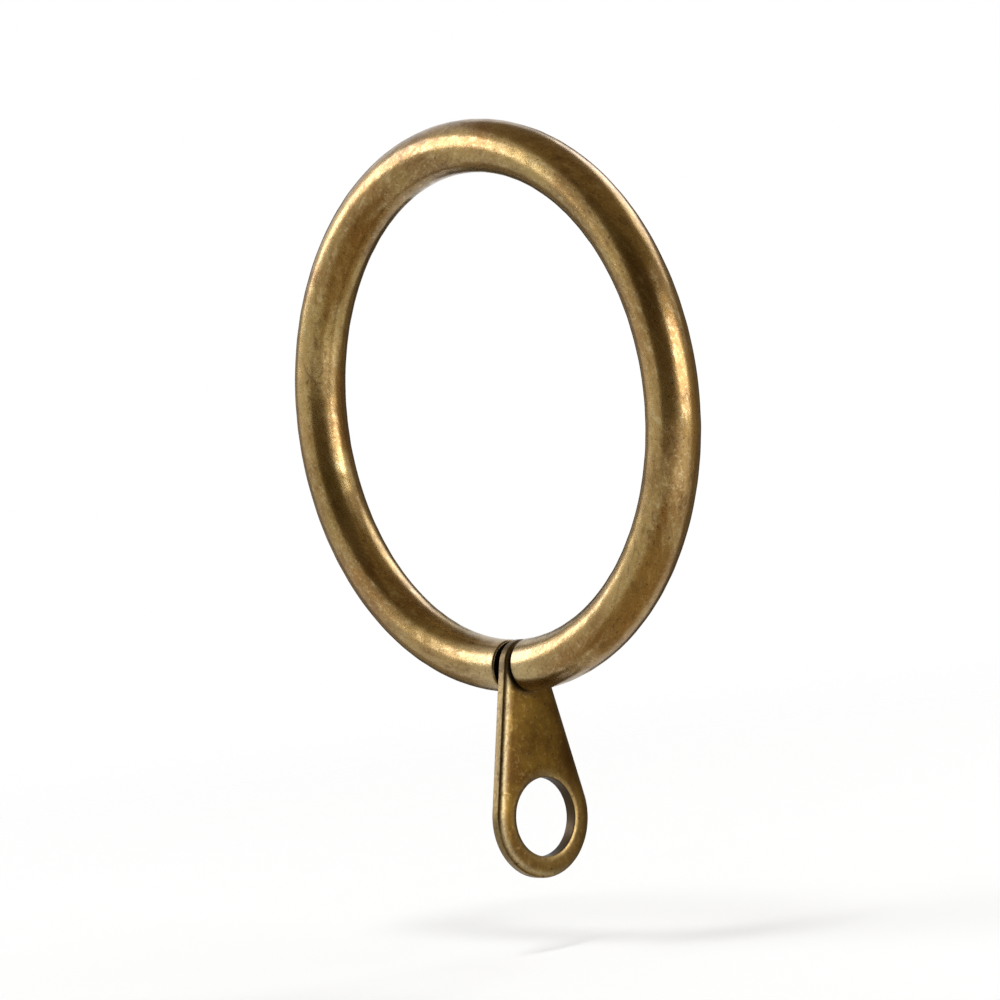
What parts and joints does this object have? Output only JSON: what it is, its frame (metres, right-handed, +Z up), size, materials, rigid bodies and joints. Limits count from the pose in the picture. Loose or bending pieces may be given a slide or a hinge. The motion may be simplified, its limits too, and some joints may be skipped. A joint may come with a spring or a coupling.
{
  "type": "curtain ring",
  "caption": "Round bar curtain ring with a flat teardrop eyelet that swings on a pin between the ring's ends.",
  "frame": {"origin": "centre of the ring, on the middle line of the opening for the rod", "axes": "+X along the rod that the ring hangs on, +Y along the pivot pin, +Z up with the eyelet hanging at -Z"},
  "size_m": [0.0098, 0.0466, 0.0618],
  "materials": {
    "antique_brass_bar": "antiqued brass on round bar: satin gloss, brown in the low spots and rubbed bright on the crowns",
    "antique_brass_plate": "antiqued brass on stamped plate: olive brown faces with rubbed bright edges",
    "dark_pin": "dark brown oxide, unpolished"
  },
  "bodies": {
    "ring": {"ring": "antique_brass_bar", "pivot_pin": "dark_pin"},
    "eyelet": {"eyelet": "antique_brass_plate"}
  },
  "joints": [
    {"name": "eyelet_swing", "type": "hinge", "parent": "ring", "child": "eyelet", "pos_m": [0, 0, -0.02115], "axis": [0, 1, 0], "continuous": true}
  ]
}
